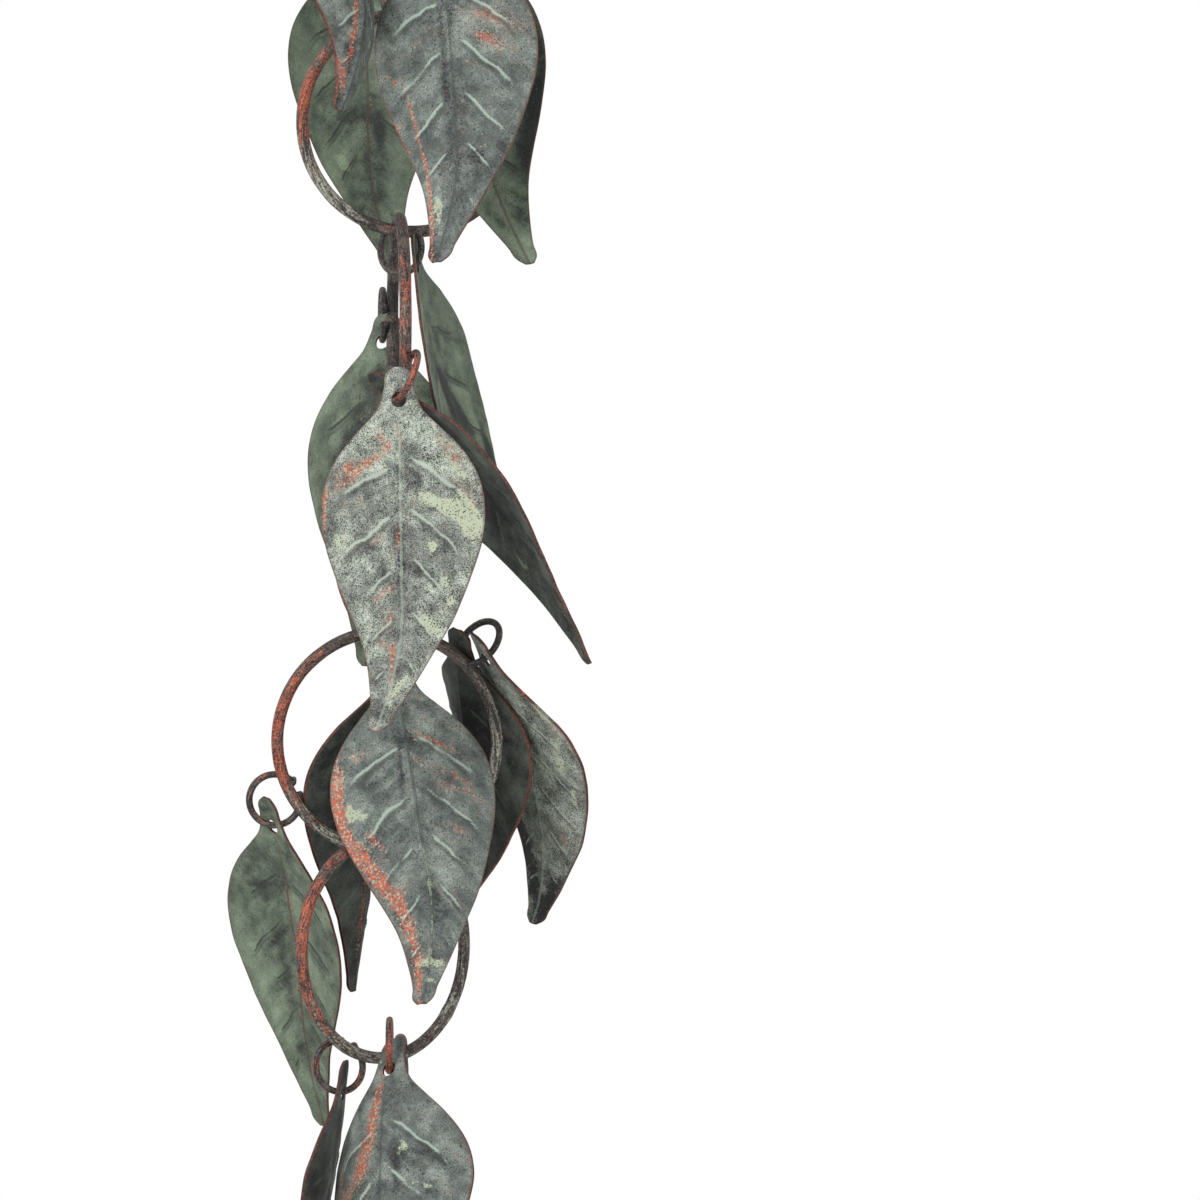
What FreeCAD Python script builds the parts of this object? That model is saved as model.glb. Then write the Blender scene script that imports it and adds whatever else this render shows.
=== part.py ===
import FreeCAD, Part
import math
import os
from dataclasses import dataclass

from FreeCAD import Matrix, Placement, Rotation, Vector

# A rain chain of copper leaves. Round wire rings hang in each other in alternating planes.
# Small open loops of thinner wire are brazed to the rings, and pressed leaves hang on the loops.
# Millimetres, Z up. The origin is the inside top of the first ring, where the chain is hung up.
# The front of the chain faces -Y.

# Main rings
ring_inside = 54.6       # inside diameter
ring_wire = 3.2          # wire diameter
ring_play = 0.1          # daylight left where one ring hangs in the next
seat_step = 0.005        # how finely the place of a hanging ring is found

# Leaf loops
loop_inside = 11.6       # inside diameter
loop_wire = 1.8          # wire diameter
loop_stand = 4.6         # from the middle of the ring wire out to the loop's centre
loop_mouth = 34.0        # degrees left open between the two cut ends
braze_bite = 0.15        # how far the loop wire is coped into the side of the ring wire

# Leaves
leaf_length = 94.0
leaf_width = 43.2
leaf_sheet = 0.7         # sheet thickness
hole_bore = 4.0
hole_drop = 8.5          # from the top of the tab down to the middle of the hole
hole_play = 0.1          # daylight between the hole and the loop wire it rests on
tip_sweep = 7.0          # how far the drip tip swings out of the leaf's middle line
tip_start = 0.68         # share of the length at which that swing starts
midrib_round = 0.9       # radius of the rounded midrib crease
sheet_tolerance = 0.02   # how closely the leaf's surfaces keep to their rows

# Outline of the leaf: share of the length from the tab down, and share of the full width there
outline = (
    (0.00, 0.07), (0.012, 0.135), (0.06, 0.19), (0.12, 0.29), (0.16, 0.46), (0.21, 0.68), (0.29, 0.91),
    (0.38, 1.00), (0.47, 0.97), (0.58, 0.82), (0.69, 0.62), (0.79, 0.41), (0.88, 0.26), (0.95, 0.155),
    (0.988, 0.11), (1.00, 0.055),
)
cross_shares = (-1.0, -0.72, -0.42, -0.16, 0.0, 0.16, 0.42, 0.72, 1.0)

ring_middle = (ring_inside + ring_wire) / 2      # radius of the ring wire's middle line
loop_middle = (loop_inside + loop_wire) / 2      # radius of the loop wire's middle line
braze_side = (ring_wire + loop_wire) / 2 - braze_bite


@dataclass
class Ring:
    """A main ring: how far it is turned about the vertical, and its sideways place."""
    turn: float
    across: float


@dataclass
class Loop:
    """A leaf loop: its ring, its clock angle on it, its own twist, and the side it is brazed to."""
    ring: int
    clock: float
    twist: float = 0.0
    side: float = 0.0
    mouth: float = loop_mouth
    stand: float = loop_stand


@dataclass
class Leaf:
    """A leaf: its loop and the way it hangs and is bent. Angles in degrees, bends in millimetres."""
    loop: int
    slide: float = 0.0       # where it sits on the loop, from the loop's lowest point
    facing: float = 0.0      # turn about its own long line, 0 faces the front
    lean: float = 0.0        # tip swung to the right as seen from the front
    forward: float = 0.0     # tip swung towards the front
    cup: float = 7.0         # how far the edges are pressed back at the widest place
    fold: float = 4.0        # how far the halves are folded back along the midrib
    bow: float = 2.0         # how far the middle of the leaf stands forward
    curl: float = 0.0        # how far the tip is curled forward
    twist: float = 0.0       # turn of the tip against the tab


rings = (
    Ring(50, 0.0), Ring(104, -1.6), Ring(0, 1.05), Ring(95, -2.4),
    Ring(60, -3.4), Ring(0, -5.5), Ring(44, -6.4), Ring(90, -2.0),
)

loops = (
    Loop(0, 220, 70), Loop(1, 266, 0, 1), Loop(1, 90, 0, -1), Loop(2, 185, -35, mouth=94),
    Loop(3, 246, 25), Loop(3, 82, 0, -1), Loop(4, 180, 38), Loop(5, 43, 52, -0.7, stand=6.4),
    Loop(5, 242.4, 0, -1), Loop(6, 204, -20, -1), Loop(7, 328, 0, -1), Loop(7, 180, 0, 1),
)

leaves = (
    Leaf(0, slide=-26.5, facing=55, lean=4.5, forward=22, cup=8.5, fold=5, bow=3.5, curl=-2.5, twist=-3),
    Leaf(1, slide=-31, facing=-14, lean=4, forward=8.5, cup=3.5, fold=2, bow=-3, curl=0.5, twist=-3.5),
    Leaf(1, slide=12.5, facing=173, lean=12.5, forward=-9.5, cup=1.5, fold=2, curl=-12, twist=-5),
    Leaf(2, slide=13, facing=187, lean=1.5, forward=6, cup=5, bow=2.5, curl=2, twist=3.5),
    Leaf(3, slide=-48, facing=264, lean=16, forward=-17.5, cup=1.5, fold=2, bow=4.5, curl=-6, twist=13),
    Leaf(4, slide=-19, facing=-14.5, lean=1.5, forward=-0.5, cup=1.5, fold=2, bow=1.5, curl=6, twist=-11.5),
    Leaf(4, slide=48, facing=126, lean=37.5, forward=-9.5, cup=1.5, fold=2, bow=6, curl=-6, twist=16.5),
    Leaf(5, slide=-0.5, facing=-26, lean=-3, forward=6, cup=5.5, fold=3, bow=6.5, curl=-12, twist=-10.5),
    Leaf(6, slide=-37.5, facing=4, lean=9, forward=10, cup=2, fold=3.5, curl=8, twist=-5.5),
    Leaf(6, slide=37, facing=55.5, lean=-8.5, forward=-21, cup=3.5, fold=5.5, bow=-2, curl=6, twist=-12),
    Leaf(7, slide=-48, facing=-61, lean=14.5, forward=-31.5, cup=1.5, fold=2, bow=-4, curl=6, twist=-21.5),
    Leaf(7, slide=48, facing=-41, lean=4, forward=-30, cup=2.5, fold=5.5, bow=0, curl=8, twist=50),
    Leaf(8, slide=2.5, facing=129, lean=5, forward=-21, cup=1.5, fold=2, bow=4, curl=2, twist=-13),
    Leaf(9, slide=4.5, facing=77, lean=-10, forward=-5.5, cup=1.5, fold=2, bow=1.5, twist=-14),
    Leaf(10, slide=-32.5, facing=-36.5, lean=2, forward=17.5, cup=8.5, fold=2, bow=7.5, curl=-5, twist=-9.5),
    Leaf(11, slide=-24, facing=10, lean=-6, forward=6, cup=6),
    Leaf(11, slide=24, facing=8, lean=9, forward=-8, cup=6),
)


def unit(vector):
    """Return the vector at length 1."""
    return Vector(vector).normalize()


def frame_placement(origin, x_axis, y_axis):
    """Return the placement whose local X and Y lie along the two given square axes."""
    z_axis = x_axis.cross(y_axis)
    return Placement(Matrix(
        x_axis.x, y_axis.x, z_axis.x, origin.x,
        x_axis.y, y_axis.y, z_axis.y, origin.y,
        x_axis.z, y_axis.z, z_axis.z, origin.z,
        0, 0, 0, 1))


def ring_axes(ring):
    """Return a ring's sideways axis in its plane, and its normal."""
    turn = math.radians(ring.turn)
    return Vector(math.cos(turn), math.sin(turn), 0), Vector(math.sin(turn), -math.cos(turn), 0)


def ring_line(ring, centre):
    """Return the middle line of a ring's wire."""
    sideways, normal = ring_axes(ring)
    return Part.makeCircle(ring_middle, centre, normal)


def ring_centres():
    """Hang each ring in the one above it, as low as the two wires allow, and return all centres."""
    centres = [Vector(rings[0].across, 0, -ring_inside / 2)]
    for upper, lower in zip(rings, rings[1:]):
        line = ring_line(upper, centres[-1])
        high, low = ring_inside - 2 * ring_wire, ring_inside + ring_wire / 2
        while low - high > seat_step:
            drop = (high + low) / 2
            centre = Vector(lower.across, 0, centres[-1].z - drop)
            if line.distToShape(ring_line(lower, centre))[0] < ring_wire + ring_play:
                low = drop
            else:
                high = drop
        centres.append(Vector(lower.across, 0, centres[-1].z - high))
    return centres


def make_ring(ring, centre):
    """Return a main ring."""
    sideways, normal = ring_axes(ring)
    shape = Part.makeTorus(ring_middle, ring_wire / 2)
    shape.Placement = frame_placement(centre, sideways, Vector(0, 0, 1))
    return shape


def loop_frame(loop, centres):
    """Return a loop's centre, its outward axis away from the ring, and its second axis."""
    sideways, normal = ring_axes(rings[loop.ring])
    clock, twist = math.radians(loop.clock), math.radians(loop.twist)
    outward = sideways * math.sin(clock) + Vector(0, 0, math.cos(clock))
    along = sideways * math.cos(clock) - Vector(0, 0, math.sin(clock))
    second = along * math.cos(twist) + normal * math.sin(twist)
    centre = centres[loop.ring] + outward * (ring_middle + loop.stand) + normal * (braze_side * loop.side)
    return centre, outward, second


def make_loop(loop, centres, ring_shape):
    """Return a leaf loop, its cut ends coped to the wire of its ring."""
    centre, outward, second = loop_frame(loop, centres)
    sweep = 360 - loop.mouth
    shape = Part.makeTorus(loop_middle, loop_wire / 2, Vector(), Vector(0, 0, 1), -180, 180, sweep)
    shape.rotate(Vector(), Vector(0, 0, 1), 180 + loop.mouth / 2)
    shape.Placement = frame_placement(centre, outward, second).multiply(shape.Placement)
    pieces = shape.cut(ring_shape).Solids
    return max(pieces, key=lambda piece: piece.Volume)


def seat_on_loop(loop, slide, centres):
    """Return the point of the loop wire's middle line on which a leaf hangs, and the wire's direction there."""
    centre, outward, second = loop_frame(loop, centres)
    axis = outward.cross(second)
    down = Vector(0, 0, -1) - axis * (-axis.z)
    low = unit(down)
    side = axis.cross(low)
    if side.y < 0:
        side = -side
    angle = math.radians(slide)
    towards = low * math.cos(angle) + side * math.sin(angle)
    return centre + towards * loop_middle, axis.cross(towards)


def leaf_line(leaf, share):
    """Return how far forward the midrib stands at a share of the leaf's length."""
    return leaf.bow * 4 * share * (1 - share) + leaf.curl * share ** 4


def leaf_row(leaf, share, width_share):
    """Return the front and back points of one row across the leaf, with the hole at the origin."""
    step = 0.001
    at_hole = leaf_line(leaf, hole_drop / leaf_length)
    slope = (leaf_line(leaf, share + step) - leaf_line(leaf, share - step)) / (2 * step * leaf_length)
    swing = max(0.0, (share - tip_start) / (1 - tip_start))
    origin = Vector(-tip_sweep * swing ** 1.7, at_hole - leaf_line(leaf, share), hole_drop - share * leaf_length)
    forward = unit(Vector(0, -1, slope))
    turn = math.radians(leaf.twist * share)
    across = Vector(1, 0, 0) * math.cos(turn) + forward * math.sin(turn)
    normal = forward * math.cos(turn) - Vector(1, 0, 0) * math.sin(turn)
    half = leaf_width / 2
    front, back = [], []
    for cross in cross_shares:
        place = cross * width_share * half
        crease = math.hypot(place, midrib_round) - midrib_round
        height = -leaf.cup * (place / half) ** 2 - leaf.fold * crease / half
        point = origin + across * place + normal * height
        front.append(point + normal * (leaf_sheet / 2))
        back.append(point - normal * (leaf_sheet / 2))
    return front, back


def spline_sheet(rows):
    """Return the smooth surface through rows of points."""
    surface = Part.BSplineSurface()
    surface.approximate(Points=rows, DegMin=3, DegMax=5, Continuity=2, Tolerance=sheet_tolerance,
                        ParamType="ChordLength")
    return surface


def border_edges(surface):
    """Return the four border edges of a surface."""
    u_low, u_high, v_low, v_high = surface.bounds()
    curves = (surface.uIso(u_low), surface.uIso(u_high), surface.vIso(v_low), surface.vIso(v_high))
    return [curve.toShape() for curve in curves]


def leaf_placement(leaf, centres):
    """Return the placement that hangs a leaf by its hole."""
    turned = Rotation(Vector(1, 0, 0), -leaf.forward).multiply(
        Rotation(Vector(0, 1, 0), -leaf.lean)).multiply(Rotation(Vector(0, 0, 1), leaf.facing))
    up = turned.multVec(Vector(0, 0, 1))
    seat, along = seat_on_loop(loops[leaf.loop], leaf.slide, centres)
    hole_axis = turned.multVec(Vector(0, 1, 0))
    tilt = hole_axis.getAngle(along)
    clear = hole_bore * abs(math.cos(tilt)) - leaf_sheet * math.sin(tilt)
    drop = max(0.0, (clear - loop_wire) / 2 - hole_play)
    return Placement(seat - up * drop, turned)


def make_leaf(leaf, centres):
    """Return a pressed leaf hung on its loop."""
    rows = [leaf_row(leaf, share, width) for share, width in outline]
    front = spline_sheet([row[0] for row in rows])
    back = spline_sheet([row[1] for row in rows])
    faces = [front.toShape(), back.toShape()]
    for front_edge, back_edge in zip(border_edges(front), border_edges(back)):
        faces.append(Part.makeRuledSurface(front_edge, back_edge))
    shell = Part.makeShell(faces)
    shell.sewShape()
    sheet = Part.makeSolid(Part.makeShell(shell.Faces))
    if sheet.Volume < 0:
        sheet.reverse()
    depth = leaf_sheet * 8
    hole = Part.makeCylinder(hole_bore / 2, depth, Vector(0, -depth / 2, 0), Vector(0, 1, 0))
    shape = sheet.cut(hole).Solids[0]
    shape.Placement = leaf_placement(leaf, centres)
    return shape


def make_chain():
    """Return every piece of the chain by name."""
    pieces = {}
    centres = ring_centres()
    for number, (ring, centre) in enumerate(zip(rings, centres), 1):
        pieces[f"ring_{number}"] = make_ring(ring, centre)
    for number, loop in enumerate(loops, 1):
        pieces[f"loop_{number:02d}"] = make_loop(loop, centres, pieces[f"ring_{loop.ring + 1}"])
    for number, leaf in enumerate(leaves, 1):
        pieces[f"leaf_{number:02d}"] = make_leaf(leaf, centres)
    return pieces


def main():
    """Write one file for each piece of the chain."""
    os.makedirs("parts", exist_ok=True)
    for name, piece in make_chain().items():
        piece.exportStep(f"parts/{name}.step")
        print(name, piece.isValid(), len(piece.Solids), round(piece.Volume, 1))


if __name__ == "__main__":
    main()
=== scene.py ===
"""Looks of a copper leaf rain chain: patinated rings, brazed leaf loops and pressed leaves."""

import logging
import math
from dataclasses import dataclass, field
from enum import Enum

import bpy
import numpy as np
from mathutils import Matrix, Vector, noise


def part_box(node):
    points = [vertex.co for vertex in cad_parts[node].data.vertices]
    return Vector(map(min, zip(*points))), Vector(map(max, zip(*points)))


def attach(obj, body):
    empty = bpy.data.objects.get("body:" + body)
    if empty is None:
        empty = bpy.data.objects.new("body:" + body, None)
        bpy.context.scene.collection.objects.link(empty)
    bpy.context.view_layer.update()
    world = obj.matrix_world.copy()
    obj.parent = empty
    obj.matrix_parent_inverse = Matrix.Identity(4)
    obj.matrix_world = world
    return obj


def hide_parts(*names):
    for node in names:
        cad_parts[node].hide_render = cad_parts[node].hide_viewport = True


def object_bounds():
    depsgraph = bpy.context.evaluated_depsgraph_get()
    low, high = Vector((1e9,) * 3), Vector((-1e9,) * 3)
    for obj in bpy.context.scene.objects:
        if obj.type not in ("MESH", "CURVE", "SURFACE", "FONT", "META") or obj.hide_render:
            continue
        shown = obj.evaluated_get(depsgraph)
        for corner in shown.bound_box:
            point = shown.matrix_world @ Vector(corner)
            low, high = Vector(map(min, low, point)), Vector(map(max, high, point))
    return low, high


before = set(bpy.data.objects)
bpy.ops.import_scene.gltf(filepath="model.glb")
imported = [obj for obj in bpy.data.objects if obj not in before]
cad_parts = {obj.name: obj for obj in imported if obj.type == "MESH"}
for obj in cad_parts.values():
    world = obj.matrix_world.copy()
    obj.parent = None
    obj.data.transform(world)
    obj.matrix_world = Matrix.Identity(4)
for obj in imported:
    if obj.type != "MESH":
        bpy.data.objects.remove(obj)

CAD_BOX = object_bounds()
LOG = logging.getLogger("rain_chain")
MM = 0.001
WIRE_DRAW = 0.14  # how far a wire's patterns are drawn out along it
Colour = tuple[float, float, float]
Pixel = tuple[float, float]


def bare_selection() -> None:
    """Leave nothing selected."""
    bpy.ops.object.select_all(action="DESELECT")


def pick(piece: bpy.types.Object, *others: bpy.types.Object) -> None:
    """Select these pieces alone and make the first one active.

    Args:
        piece: The active piece.
        others: What is selected with it.
    """
    bare_selection()
    for chosen in (piece, *others):
        chosen.select_set(True)
    bpy.context.view_layer.objects.active = piece


def take_active(name: str) -> bpy.types.Object:
    """Name the newest object and hand it over.

    Args:
        name: Name for the object and its mesh.

    Returns:
        The object that the last operator made.
    """
    made = bpy.context.active_object
    made.name = name
    made.data.name = name
    return made


def settle(piece: bpy.types.Object, place: Matrix) -> None:
    """Put a piece's place into its mesh, so that the object sits at the origin."""
    piece.data.transform(place)
    piece.matrix_world = Matrix.Identity(4)


def apply_modifiers(piece: bpy.types.Object) -> None:
    """Apply every modifier of a piece.

    Args:
        piece: The piece.
    """
    pick(piece)
    for modifier in list(piece.modifiers):
        bpy.ops.object.modifier_apply(modifier=modifier.name)


def read_points(mesh: bpy.types.Mesh) -> np.ndarray:
    """Return a mesh's points as rows.

    Args:
        mesh: The mesh.

    Returns:
        One row of x, y, z for each point.
    """
    flat = np.empty(len(mesh.vertices) * 3)
    mesh.vertices.foreach_get("co", flat)
    return flat.reshape(-1, 3)


def write_points(mesh: bpy.types.Mesh, points: np.ndarray) -> None:
    """Write rows of points back to a mesh."""
    mesh.vertices.foreach_set("co", np.ascontiguousarray(points, dtype=np.float32).ravel())
    mesh.update()


def write_field(mesh: bpy.types.Mesh, name: str, values: np.ndarray) -> None:
    """Store one number or one triple for each point of a mesh, for the finishes to read.

    Args:
        mesh: The mesh.
        name: Name of the stored field.
        values: One value or one row for each point.
    """
    kind = "FLOAT_VECTOR" if values.ndim == 2 else "FLOAT"
    key = "vector" if values.ndim == 2 else "value"
    layer = mesh.attributes.new(name, kind, "POINT")
    layer.data.foreach_set(key, np.ascontiguousarray(values, dtype=np.float32).ravel())


def write_lay(mesh: bpy.types.Mesh, middle: float, seed: float) -> None:
    """Store how far round a torus and round its wire each point lies, for streaks that run along the wire.

    Args:
        mesh: The torus, in its own frame.
        middle: Radius of the wire's middle line in metres.
        seed: Number that makes this wire's streaks its own.
    """
    points = read_points(mesh)
    reach = np.hypot(points[:, 0], points[:, 1])
    round_it = np.arctan2(points[:, 1], points[:, 0])
    tall = middle * WIRE_DRAW
    lay = np.stack([np.cos(round_it) * tall + seed * MM,
                    np.sin(round_it) * tall + (reach - middle), points[:, 2]], 1)
    write_field(mesh, "lay", lay / MM)


class Bench:
    """A small workbench for the nodes of one finish."""

    def __init__(self, name: str) -> None:
        """Start an empty finish.

        Args:
            name: Name of the material.
        """
        self.material = bpy.data.materials.new(name)
        self.material.use_nodes = True
        self.tree = self.material.node_tree
        self.shader = self.tree.nodes["Principled BSDF"]
        self.place = self.tree.nodes.new("ShaderNodeTexCoord").outputs["Object"]

    def link(self, source: bpy.types.NodeSocket, target: bpy.types.NodeSocket) -> None:
        """Join two sockets."""
        self.tree.links.new(source, target)

    def feed(self, socket: bpy.types.NodeSocket, value: object) -> None:
        """Give a socket a number, a colour or another socket.

        Args:
            socket: The input.
            value: What goes in.
        """
        if isinstance(value, bpy.types.NodeSocket):
            self.link(value, socket)
        elif isinstance(value, tuple):
            socket.default_value = (*value, 1.0) if len(value) == 3 and socket.type == "RGBA" else value
        else:
            socket.default_value = value

    def sum(self, kind: str, first: object, second: object = 0.0) -> bpy.types.NodeSocket:
        """Add a sum of one kind.

        Args:
            kind: The operation.
            first: First number.
            second: Second number.

        Returns:
            The result.
        """
        node = self.tree.nodes.new("ShaderNodeMath")
        node.operation = kind
        self.feed(node.inputs[0], first)
        self.feed(node.inputs[1], second)
        return node.outputs[0]

    def times(self, first: object, second: object) -> bpy.types.NodeSocket:
        """Return the product of two numbers."""
        return self.sum("MULTIPLY", first, second)

    def plus(self, first: object, second: object) -> bpy.types.NodeSocket:
        """Return two numbers added up."""
        return self.sum("ADD", first, second)

    def minus(self, first: object, second: object) -> bpy.types.NodeSocket:
        """Return the first number less the second."""
        return self.sum("SUBTRACT", first, second)

    def size(self, value: object) -> bpy.types.NodeSocket:
        """Return a number without its sign."""
        return self.sum("ABSOLUTE", value)

    def around(self, cloud: bpy.types.NodeSocket) -> bpy.types.NodeSocket:
        """Return a cloudy pattern spread around nought."""
        return self.times(self.minus(cloud, 0.5), 2.5)

    def grade(self, value: object, low: float, high: float, start: float = 0.0,
              end: float = 1.0) -> bpy.types.NodeSocket:
        """Grade a number smoothly from one range to another.

        Args:
            value: The number.
            low: Where the grade starts.
            high: Where it ends.
            start: Result at the low end.
            end: Result at the high end.

        Returns:
            The graded number.
        """
        node = self.tree.nodes.new("ShaderNodeMapRange")
        node.interpolation_type = "SMOOTHSTEP"
        self.feed(node.inputs["Value"], value)
        node.inputs["From Min"].default_value = low
        node.inputs["From Max"].default_value = high
        node.inputs["To Min"].default_value = start
        node.inputs["To Max"].default_value = end
        return node.outputs["Result"]

    def cloud(self, scale: float, detail: float = 3.0, rough: float = 0.55, warp: float = 0.0,
              place: bpy.types.NodeSocket | None = None) -> bpy.types.NodeSocket:
        """Add a cloudy pattern.

        Args:
            scale: Clouds to a metre.
            detail: How many finer layers it has.
            rough: How strong the finer layers are.
            warp: How much it is stirred.
            place: Where it is read, the piece's own place if left out.

        Returns:
            A number around one half.
        """
        node = self.tree.nodes.new("ShaderNodeTexNoise")
        node.inputs["Scale"].default_value = scale
        node.inputs["Detail"].default_value = detail
        node.inputs["Roughness"].default_value = rough
        node.inputs["Distortion"].default_value = warp
        self.link(place or self.place, node.inputs["Vector"])
        return node.outputs["Fac"]

    def field(self, scale: float, detail: float = 3.0, rough: float = 0.55, warp: float = 0.0,
              place: bpy.types.NodeSocket | None = None) -> bpy.types.NodeSocket:
        """Add a cloudy pattern around nought, with the values that cloud takes."""
        return self.around(self.cloud(scale, detail, rough, warp, place))

    def total(self, *shares: tuple[object, float]) -> bpy.types.NodeSocket:
        """Add up weighted patterns.

        Args:
            shares: Pairs of a pattern and its weight.

        Returns:
            Their sum.
        """
        result = self.times(*shares[0])
        for value, weight in shares[1:]:
            result = self.plus(result, self.times(value, weight))
        return result

    def spot(self, x: object, y: object, z: object) -> bpy.types.NodeSocket:
        """Join three numbers to a place.

        Args:
            x: First number.
            y: Second number.
            z: Third number.

        Returns:
            The place.
        """
        node = self.tree.nodes.new("ShaderNodeCombineXYZ")
        for socket, value in zip(node.inputs, (x, y, z)):
            self.feed(socket, value)
        return node.outputs[0]

    def blend(self, share: object, first: object, second: object, kind: str = "MIX") -> bpy.types.NodeSocket:
        """Blend two colours.

        Args:
            share: Share of the second.
            first: First colour.
            second: Second colour.
            kind: How they blend.

        Returns:
            The blended colour.
        """
        node = self.tree.nodes.new("ShaderNodeMix")
        node.data_type = "RGBA"
        node.blend_type = kind
        self.feed(node.inputs["Factor"], share)
        self.feed(node.inputs[6], first)
        self.feed(node.inputs[7], second)
        return node.outputs[2]

    def stored(self, name: str, output: str = "Fac") -> bpy.types.NodeSocket:
        """Read a field stored on the mesh.

        Args:
            name: Name of the field.
            output: Which output to read.

        Returns:
            The stored value.
        """
        node = self.tree.nodes.new("ShaderNodeAttribute")
        node.attribute_name = name
        return node.outputs[output]

    def dent(self, height: object, depth: float, strength: float = 1.0,
             normal: bpy.types.NodeSocket | None = None) -> bpy.types.NodeSocket:
        """Press a height pattern into the surface.

        Args:
            height: The pattern.
            depth: Its depth in metres.
            strength: How much of it shows.
            normal: An earlier pattern it lies on.

        Returns:
            The new surface direction.
        """
        node = self.tree.nodes.new("ShaderNodeBump")
        node.inputs["Strength"].default_value = strength
        node.inputs["Distance"].default_value = depth
        self.feed(node.inputs["Height"], height)
        if normal is not None:
            self.link(normal, node.inputs["Normal"])
        return node.outputs["Normal"]

    def finish(self, colour: object, roughness: object, metal: object,
               normal: bpy.types.NodeSocket) -> bpy.types.Material:
        """Join everything to the shader.

        Args:
            colour: Surface colour.
            roughness: Surface roughness.
            metal: Share of bare metal.
            normal: Surface direction.

        Returns:
            The finished material.
        """
        self.feed(self.shader.inputs["Base Color"], colour)
        self.feed(self.shader.inputs["Roughness"], roughness)
        self.feed(self.shader.inputs["Metallic"], metal)
        self.shader.inputs["Specular IOR Level"].default_value = 0.35
        self.link(normal, self.shader.inputs["Normal"])
        return self.material


@dataclass(frozen=True)
class VeinPlan:
    """How the side veins run over a leaf, in millimetres."""

    first: float = 23.0
    pitch: float = 12.8
    slope: float = 0.16
    spread: float = 0.0135
    arch: float = 0.007
    lopside: float = 0.35
    stagger: float = 2.4
    count: int = 5
    ridge: float = 0.55
    ridge_half: float = 0.8
    puff: float = 0.45
    rib: float = 0.32
    rib_half: float = 0.95


VEINS = VeinPlan()


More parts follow.
